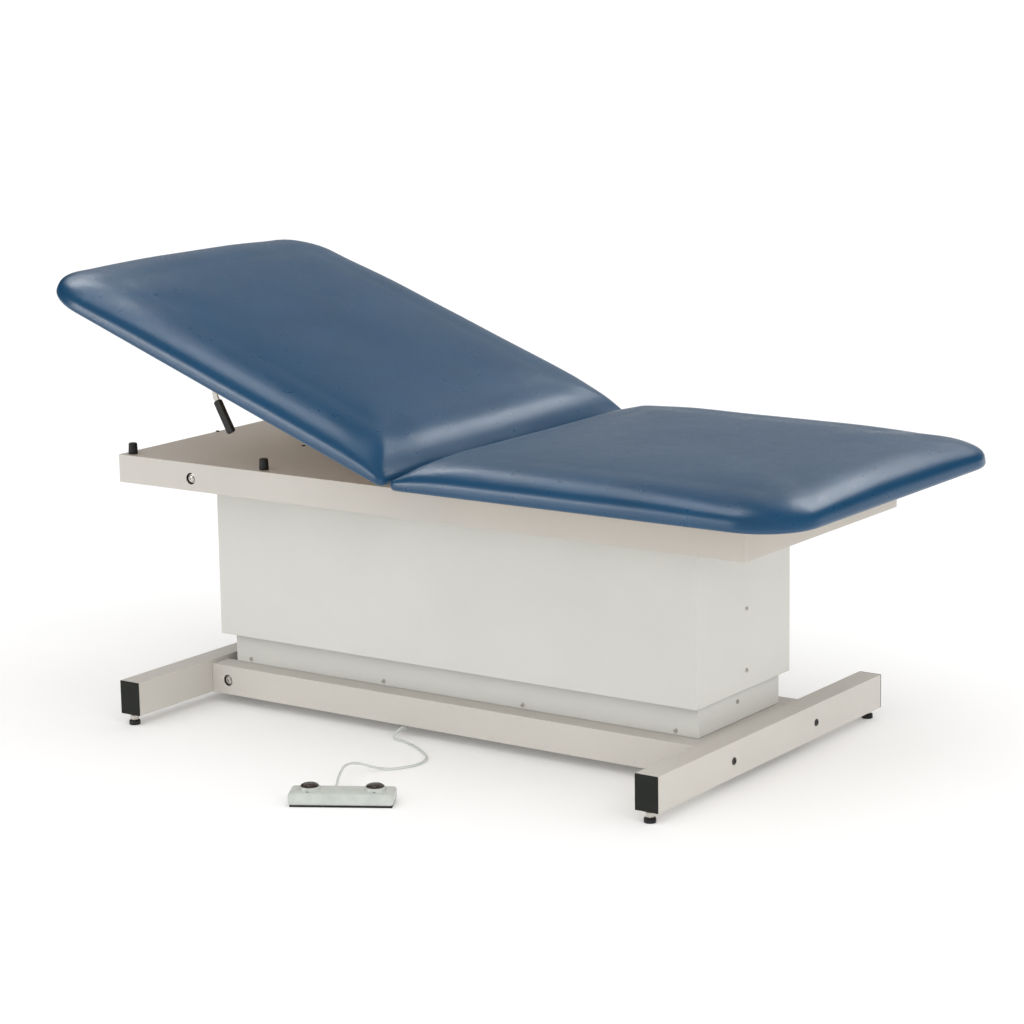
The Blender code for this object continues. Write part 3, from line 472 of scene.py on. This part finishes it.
def add_shroud_screws():
    low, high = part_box("inner_shroud")
    for number, x in enumerate(SIDE_SCREWS_X):
        for side, y, axis in (("front", low.y, FRONT), ("rear", high.y, REAR)):
            add_screw(f"shroud_{side}_screw_{number}",
                      Vector((place(x, 0, 0).x, y, SIDE_SCREWS_Z * MM)), axis, "base")
    y, z = INNER_END_SCREW
    add_screw("shroud_foot_screw", Vector((high.x, place(0, y, 0).y, z * MM)), RIGHT, "base")
    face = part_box("outer_shroud")[1].x
    for number, (y, z) in enumerate(OUTER_END_SCREWS):
        add_screw(f"outer_shroud_screw_{number}", Vector((face, place(0, y, 0).y, z * MM)), RIGHT,
                  BODY_OF["outer_shroud"])


def add_beam_bolt_caps():
    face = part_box("foot_cross_beam")[1].x
    for side in ("front", "rear"):
        centre = middle(side + "_foot_beam_bolt")
        spot = Vector((face, centre.y, centre.z))
        dress(turned(side + "_beam_bolt_cap", BEAM_BOLT_CAP, spot, RIGHT, 32, {4: 6, 5: 6}),
              "base", "dark_steel")


def add_tray_screws():
    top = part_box("tray_pan")[1].z
    for number, (x, y) in enumerate(TRAY_SCREWS):
        spot = place(x, y, 0)
        add_screw(f"tray_screw_{number}", Vector((spot.x, spot.y, top)), UP, BODY_OF["tray_pan"],
                  4.0, "dark_steel")


def add_pivot_bolts():
    for shaft in ("tray_pivot_shaft", "base_pivot_shaft"):
        low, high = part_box(shaft)
        centre = middle(shaft)
        for side, y, axis in (("front", low.y, FRONT), ("rear", high.y, REAR)):
            add_bolt(f"{shaft}_{side}_bolt", Vector((centre.x, y, centre.z)), axis,
                     BODY_OF[shaft])


def add_foot(node):
    """A levelling foot: rubber pad, nut and threaded stem, in place of its CAD node."""
    centre = middle(node)
    spot = Vector((centre.x, centre.y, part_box(node)[0].z))
    dress(turned(node + "_pad", FOOT_PAD, spot, UP, 40), BODY_OF[node], "rubber")
    stem = list(FOOT_NUT)
    height = THREAD_FROM
    while height < THREAD_TO:
        stem += [(THREAD_CREST, height + THREAD_PITCH / 3),
                 (THREAD_ROOT, height + THREAD_PITCH * 2 / 3),
                 (THREAD_CREST, height + THREAD_PITCH)]
        height += THREAD_PITCH
    stem += STEM_TOP
    made = dress(turned(node + "_stem", stem, spot, UP, 36, {1: 6, 2: 6, 3: 6}), BODY_OF[node],
                 "steel")
    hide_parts(node)


for node in ("head_front_foot", "head_rear_foot", "foot_front_foot", "foot_rear_foot"):
    add_foot(node)
add_shroud_screws()
add_beam_bolt_caps()
add_tray_screws()
add_pivot_bolts()


# ---------------------------------------------------------------- foot switch arrows

ARROW_SIZE, ARROW_TALL = 3.2, 0.9
ARROW_OFFSET = 21.5              # from the button's middle, towards the front
ARROW_DEPTH = 6.5                # how far the cover's face lies under its highest point there


def add_arrow(node, points_up):
    """A small raised triangle beside a foot button, pointing away from or to the user."""
    cover, button = middle("pedal_cover"), middle(node)
    along = Vector((cover.x - button.x, cover.y - button.y, 0.0)).normalized()
    out = Vector((-along.y, along.x, 0.0))
    if out.y > 0:
        out = -out
    centre = Vector((button.x, button.y, 0.0)) + out * ARROW_OFFSET * MM
    tip = ARROW_SIZE if points_up else -ARROW_SIZE
    foot = centre + out * tip * MM * 0.7
    corners = [centre - out * tip * MM, foot + along * ARROW_SIZE * MM,
               foot - along * ARROW_SIZE * MM]
    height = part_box("pedal_cover")[1].z - ARROW_DEPTH * MM
    bm = bmesh.new()
    face = bm.faces.new([bm.verts.new((corner.x, corner.y, height)) for corner in corners])
    raised = bmesh.ops.extrude_face_region(bm, geom=[face])
    for item in raised["geom"]:
        if isinstance(item, bmesh.types.BMVert):
            item.co.z += ARROW_TALL * MM
    bmesh.ops.recalc_face_normals(bm, faces=bm.faces)
    made = add_object(node + "_arrow", mesh_from(bm, node + "_arrow"))
    rounding = made.modifiers.new("rounding", "BEVEL")
    rounding.width, rounding.segments = 0.25 * MM, 2
    dress(made, "base", "black_plastic")


add_arrow("raise_button", True)
add_arrow("lower_button", False)


# ---------------------------------------------------------------- cushions: cover

HINGE = (44.6, 560.9)            # x and z of the hinge axis
BACKREST_ANGLE = radians(20.26)
SEAT_ENDS = (HINGE[0] + 8.3, 923.0)
BACKREST_ENDS = (HINGE[0] - 952.0, HINGE[0] - 8.3)
OUTER_CORNER, HINGE_CORNER = 118.0, 14.0     # corner radii
HALF_WIDTH = 431.5
THICK = 62.0
SMALLEST_RADIUS = 4.0            # of a corner, however far the outline is moved in

CROWN = 116.0                    # how far in from the edge the crown reaches
CROWN_DROP = 52.0                # from the plateau down to where the crown meets the side
CROWN_TURNS = 12                 # rows of faces in the crown's quarter turn
FULLNESS = 0.70                  # under 1, the crown's section is squarer than an ellipse

BOARD_LINE, BOARD_THICK = 21.8, 12.3         # the board recess's wall, and its depth
RECESS_INSET = 45.0              # how far in from the edge the recess's grid starts
# The side, the lip under it and the recess, as (inset, height) rows.
UNDERSIDE = ((0.0, 8.0), (1.2, 4.2), (4.0, 1.2), (8.0, 0.0), (15.0, 0.0), (BOARD_LINE, 0.0),
             (BOARD_LINE, 6.0), (BOARD_LINE, BOARD_THICK), (RECESS_INSET, BOARD_THICK))
STEPS = (84, 78)                 # faces along and across a pad


def moved_in(radii, inset):
    """The corner radii of an outline moved in by this inset."""
    return [max(radius - inset, SMALLEST_RADIUS) for radius in radii]


def outline_point(low, high, half, radii, s, t):
    """Where the edge of a rounded rectangle lies towards (s, t) on the unit square."""
    x = low if s < 0 else high
    radius = radii[0] if s < 0 else radii[1]
    centre = (low + radius if s < 0 else high - radius,
              -half + radius if t < 0 else half - radius)
    spot = ((low + high) / 2 + s * (high - low) / 2, t * half)
    if (spot[0] - centre[0]) * (x - centre[0]) <= 0 or (spot[1] - centre[1]) * t <= 0:
        return spot
    angle = atan2(abs(spot[1] - centre[1]), abs(spot[0] - centre[0]))
    return (centre[0] + (radius * cos(angle) if s > 0 else -radius * cos(angle)),
            centre[1] + (radius * sin(angle) if t > 0 else -radius * sin(angle)))


def ring(ends, radii, inset):
    """A closed loop of points round the pad, at this inset from its outline."""
    along, across = STEPS
    walk = [(-1 + 2 * i / along, -1.0) for i in range(along)]
    walk += [(1.0, -1 + 2 * i / across) for i in range(across)]
    walk += [(1 - 2 * i / along, 1.0) for i in range(along)]
    walk += [(-1.0, 1 - 2 * i / across) for i in range(across)]
    low, high, half = ends[0] + inset, ends[1] - inset, HALF_WIDTH - inset
    radii = moved_in(radii, inset)
    return [outline_point(low, high, half, radii, s, t) for s, t in walk]


def grid_index(i, j):
    return i * (STEPS[1] + 1) + j


def grid_border():
    """The numbers of a grid's border points, in the order that ring() walks them."""
    along, across = STEPS
    border = [grid_index(i, 0) for i in range(along)]
    border += [grid_index(along, j) for j in range(across)]
    border += [grid_index(along - i, across) for i in range(along)]
    border += [grid_index(0, across - j) for j in range(across)]
    return border


def add_patch(points, faces, loop, radii, height, flip):
    """A grid that fills a loop of border points, whose corners have these radii."""
    first = len(points)
    low, high = min(x for x, _ in loop), max(x for x, _ in loop)
    half = max(y for _, y in loop)
    centre = (low + high) / 2
    border = dict(zip(grid_border(), loop))
    for i in range(STEPS[0] + 1):
        for j in range(STEPS[1] + 1):
            s, t = -1 + 2 * i / STEPS[0], -1 + 2 * j / STEPS[1]
            reach = max(abs(s), abs(t))
            flat = (centre + s * (high - low) / 2, t * half)
            if reach > 0.999:
                x, y = border[grid_index(i, j)]
            elif reach > 0:
                edge = outline_point(low, high, half, radii, s / reach, t / reach)
                edge = (centre + (edge[0] - centre) * reach, edge[1] * reach)
                share = reach ** 3
                x, y = (flat[k] * (1 - share) + edge[k] * share for k in range(2))
            else:
                x, y = flat
            points.append((x, y, height))
    for i in range(STEPS[0]):
        for j in range(STEPS[1]):
            face = [grid_index(*corner) + first for corner in
                    ((i, j), (i + 1, j), (i + 1, j + 1), (i, j + 1))]
            faces.append(face[::-1] if flip else face)
    return [first + index for index in grid_border()]


def add_loop(points, faces, previous, loop, height):
    """One more row of faces, from the previous loop's point numbers to a new loop."""
    first = len(points)
    points.extend((x, y, height) for x, y in loop)
    count = len(loop)
    current = [first + i for i in range(count)]
    for i in range(count):
        j = (i + 1) % count
        faces.append([previous[i], current[i], current[j], previous[j]])
    return current


def pad_mesh(name, ends, radii):
    """The pad before it is filled: plateau, crowned edge, side, lip and board recess."""
    points, faces = [], []
    loop = add_patch(points, faces, ring(ends, radii, CROWN), moved_in(radii, CROWN), THICK,
                     False)
    rows = []
    for turn in range(1, CROWN_TURNS + 1):
        angle = radians(turn * 90.0 / CROWN_TURNS)
        rows.append((CROWN * (1 - sin(angle) ** FULLNESS),
                     THICK - CROWN_DROP * (1 - cos(angle) ** FULLNESS)))
    for inset, height in (*rows, *UNDERSIDE):
        loop = add_loop(points, faces, loop, ring(ends, radii, inset), height)
    inner = add_patch(points, faces, ring(ends, radii, RECESS_INSET),
                      moved_in(radii, RECESS_INSET), BOARD_THICK, True)
    bm = bmesh.new()
    verts = [bm.verts.new(Vector(point) * MM) for point in points]
    for face in faces:
        bm.faces.new([verts[index] for index in face])
    bmesh.ops.weld_verts(bm, targetmap={verts[a]: verts[b] for a, b in zip(loop, inner)})
    bmesh.ops.recalc_face_normals(bm, faces=bm.faces)
    return mesh_from(bm, name)


# ---------------------------------------------------------------- cushions: filling

FIRM_HEIGHT = 14.0               # under it, the cover is held on its board
FREE_RISE = 30.0                 # and this much further up, it is wholly free to fill out
LIP_HEIGHT, LIP_RISE = 1.0, 14.0             # where the kept travel fades in, and over what rise
FILL_DROP = 8.0                  # how far the top starts under the height that it fills up to
FILL_CAP = 9.0                   # the furthest that the filling moves a point
FILL_SHARE = 0.25                # how much of the simulated travel is kept
EASE_ROUNDS, EASE_SHARE = 26, 0.6            # how often, and how far, points follow neighbours
FILL_FRAMES = 20
FOAM = {"quality": 5, "mass": 0.35, "tension_stiffness": 22.0, "compression_stiffness": 22.0,
        "shear_stiffness": 8.0, "bending_stiffness": 6.0, "use_pressure": True,
        "uniform_pressure_force": 4.0}

# How far the top falls away, as a share of its height, and over how long a reach.
HINGE_FALL, HINGE_REACH = 0.26, 88.0         # at the corners where the two sections meet
OUTER_FALL, OUTER_REACH = 0.24, 190.0        # at the table's own corners
EDGE_FALL, EDGE_REACH = 0.36, 32.0           # along the hinge, for the backrest's steepest angle
# The surface's slight unevenness: its height, its waves per metre and the rise it fades in over.
WANDER, WANDER_SCALE, WANDER_RISE = 1.2, 7.0, 40.0


def read_points(mesh):
    flat = np.empty(len(mesh.vertices) * 3, dtype=np.float32)
    mesh.vertices.foreach_get("co", flat)
    return flat.reshape(-1, 3).astype(float)


def smooth_step(share):
    share = np.clip(share, 0.0, 1.0)
    return share * share * (3 - 2 * share)


def crown(points, ends, hinge_end):
    """Lets the top fall away at the corners, most where the two sections meet."""
    outer_end = ends[0] if hinge_end == ends[1] else ends[1]
    fall = 1.0 - EDGE_FALL * np.exp(-(np.abs(points[:, 0] / MM - hinge_end) / EDGE_REACH) ** 2)
    for end, depth, reach in ((hinge_end, HINGE_FALL, HINGE_REACH),
                              (outer_end, OUTER_FALL, OUTER_REACH)):
        for side in (-HALF_WIDTH, HALF_WIDTH):
            gap = np.hypot(points[:, 0] / MM - end, points[:, 1] / MM - side)
            fall -= depth * np.exp(-(gap / reach) ** 2)
    base = FIRM_HEIGHT * MM
    above = np.maximum(points[:, 2] - base, 0.0)
    points[:, 2] = np.minimum(points[:, 2], base) + above * fall


def settle(made):
    """Fills the cover with foam pressure and returns how far each point moves."""
    firm = made.vertex_groups.new(name="on_board")
    firm.add([v.index for v in made.data.vertices if v.co.z < FIRM_HEIGHT * MM], 1.0, "REPLACE")
    cloth = made.modifiers.new("filling", "CLOTH")
    for setting, value in FOAM.items():
        setattr(cloth.settings, setting, value)
    cloth.settings.effector_weights.gravity = 0.0
    cloth.settings.vertex_group_mass = firm.name
    cloth.point_cache.frame_start, cloth.point_cache.frame_end = 1, FILL_FRAMES
    scene = bpy.context.scene
    for number in range(1, FILL_FRAMES + 1):
        scene.frame_set(number)
    filled = made.evaluated_get(bpy.context.evaluated_depsgraph_get())
    travel = read_points(filled.data) - read_points(made.data)
    made.modifiers.remove(cloth)
    scene.frame_set(1)
    return travel


def ease(travel, mesh):
    """Evens the cover's travel out along the mesh, as foam under it does."""
    pairs = np.array([edge.vertices[:] for edge in mesh.edges])
    count = np.bincount(pairs.ravel(), minlength=len(travel))[:, None]
    for _ in range(EASE_ROUNDS):
        total = np.zeros_like(travel)
        np.add.at(total, pairs[:, 0], travel[pairs[:, 1]])
        np.add.at(total, pairs[:, 1], travel[pairs[:, 0]])
        travel = (1 - EASE_SHARE) * travel + EASE_SHARE * total / count
    return travel


def fill(made, points):
    """Moves the pad's points as its filling does, from a cover that starts slack."""
    mesh = made.data
    free = smooth_step((points[:, 2] / MM - FIRM_HEIGHT) / FREE_RISE)
    points[:, 2] -= FILL_DROP * MM * free
    mesh.vertices.foreach_set("co", points.ravel())
    travel = ease(settle(made), mesh) * FILL_SHARE
    length = np.linalg.norm(travel, axis=1, keepdims=True) + 1e-9
    cap = FILL_CAP * MM
    travel *= cap * np.tanh(length / cap) / length
    travel[:, 2] += (1 - FILL_SHARE) * FILL_DROP * MM * free
    travel *= smooth_step((points[:, 2:] / MM - LIP_HEIGHT) / LIP_RISE)
    points += travel


def wander(points, seed):
    """Gives the surface the slight unevenness of foam, fading out towards the board."""
    offset = Vector((seed, 0.0, 0.0))
    for point in points:
        share = min(max(point[2] / (WANDER_RISE * MM), 0.0), 1.0)
        point[2] += WANDER * MM * share * noise.noise(Vector(point) * WANDER_SCALE + offset)


def add_pad(node, ends, radii, angle, hinge_end, seed):
    """A vinyl pad made flat, filled, evened out and turned about the hinge axis."""
    mesh = pad_mesh(node + "_shown", ends, radii)
    made = add_object(node + "_shown", mesh)
    points = read_points(mesh)
    crown(points, ends, hinge_end)
    fill(made, points)
    wander(points, seed)
    mesh.vertices.foreach_set("co", points.ravel())
    tilt = Matrix.Rotation(angle, 4, "Y")
    shift = Matrix.Translation(place(HINGE[0], 0.0, HINGE[1]))
    mesh.transform(shift @ tilt @ Matrix.Translation(Vector((-HINGE[0] * MM, 0.0, 0.0))))
    mesh.update()
    mesh.shade_smooth()
    fine = made.modifiers.new("fine", "SUBSURF")
    fine.levels = fine.render_levels = 1
    stand_for(made, node)


add_pad("seat_cushion", SEAT_ENDS, (HINGE_CORNER, OUTER_CORNER), 0.0, SEAT_ENDS[0], 3.0)
add_pad("backrest_cushion", BACKREST_ENDS, (OUTER_CORNER, HINGE_CORNER), BACKREST_ANGLE,
        BACKREST_ENDS[1], 9.0)


# ---------------------------------------------------------------- floor and light

FLOOR_HALF, BACKDROP_RADIUS = 25.0, 40.0     # metres
FLOOR_GLOW, BACKDROP_GLOW = 0.08, 1.05
KEY_DIRECTION = (0.60, -0.50, 0.62)          # where the world is brightest
DARKEST_FACING = -0.4                        # the cosine to it past which it gets no darker
WORLD_RANGE = (0.42, 1.56)                   # its strength at its darkest and its brightest
AIM = Vector((0.2, 0.1, 0.6))                # what the softboxes face, in metres
# Each softbox's place and size in metres, and its power in watts.
SOFTBOXES = {
    "left_softbox": ((-3.1, 1.8, 3.8), (1.6, 0.9), 32.0),
    "rear_softbox": ((0.5, 3.9, 3.4), (2.4, 0.9), 42.0),
    "back_panel": ((-1.9, 4.6, 2.2), (6.0, 4.0), 31.0),
    "top_softbox": ((-1.2, 0.2, 4.3), (2.2, 1.0), 32.0),
    "front_softbox": ((-2.9, -4.2, 1.6), (1.8, 0.7), 75.0),
}


def add_stage_piece(name, bm, material):
    mesh = mesh_from(bm, name)
    mesh.materials.append(material)
    piece = add_object(name, mesh)
    return piece


def add_floor():
    bm = bmesh.new()
    bmesh.ops.create_grid(bm, x_segments=1, y_segments=1, size=FLOOR_HALF)
    graph = Graph("floor_look")
    graph.colour((0.94, 0.94, 0.94), (0.96, 0.96, 0.96), scale=2.0)
    graph.set(Roughness=0.9, Specular_IOR_Level=0.1, Emission_Color=WHITE,
              Emission_Strength=FLOOR_GLOW)
    add_stage_piece("floor", bm, graph.material)


def add_backdrop():
    """A white surround that only the camera sees, so it sheds no light of its own."""
    bm = bmesh.new()
    bmesh.ops.create_icosphere(bm, subdivisions=3, radius=BACKDROP_RADIUS)
    graph = Graph("backdrop_look")
    graph.set(Base_Color=BLACK, Emission_Color=WHITE, Emission_Strength=BACKDROP_GLOW,
              Roughness=1.0, Specular_IOR_Level=0.0)
    backdrop = add_stage_piece("backdrop", bm, graph.material)
    backdrop.visible_diffuse = backdrop.visible_glossy = backdrop.visible_shadow = False
    backdrop.visible_transmission = backdrop.visible_volume_scatter = False


def add_world():
    """Soft light all round, strongest from above the table's near side."""
    world = bpy.data.worlds.new("studio")
    world.use_nodes = True
    nodes, links = world.node_tree.nodes, world.node_tree.links
    direction = nodes.new("ShaderNodeTexCoord").outputs["Generated"]
    facing = nodes.new("ShaderNodeVectorMath")
    facing.operation = "DOT_PRODUCT"
    facing.inputs[1].default_value = KEY_DIRECTION
    links.new(direction, facing.inputs[0])
    ranged = nodes.new("ShaderNodeMapRange")
    ranged.inputs["From Min"].default_value = DARKEST_FACING
    ranged.inputs["To Min"].default_value, ranged.inputs["To Max"].default_value = WORLD_RANGE
    links.new(facing.outputs["Value"], ranged.inputs["Value"])
    links.new(ranged.outputs["Result"], nodes["Background"].inputs["Strength"])
    nodes["Background"].inputs["Color"].default_value = WHITE
    bpy.context.scene.world = world
    world.cycles_visibility.glossy = False   # only the softboxes make highlights


def add_softbox(name, spot, size, power):
    """A panel that only reflections show."""
    data = bpy.data.lights.new(name, "AREA")
    data.shape = "RECTANGLE"
    data.size, data.size_y = size
    data.energy = power
    lamp = add_object(name, data)
    lamp.location = spot
    lamp.rotation_mode = "QUATERNION"
    lamp.rotation_quaternion = (AIM - Vector(spot)).to_track_quat("-Z", "Y")
    lamp.visible_diffuse = False


add_floor()
add_backdrop()
add_world()
for name, (spot, size, power) in SOFTBOXES.items():
    add_softbox(name, spot, size, power)
bpy.context.scene.view_settings.view_transform = "Standard"
bpy.context.scene.view_settings.look = "None"
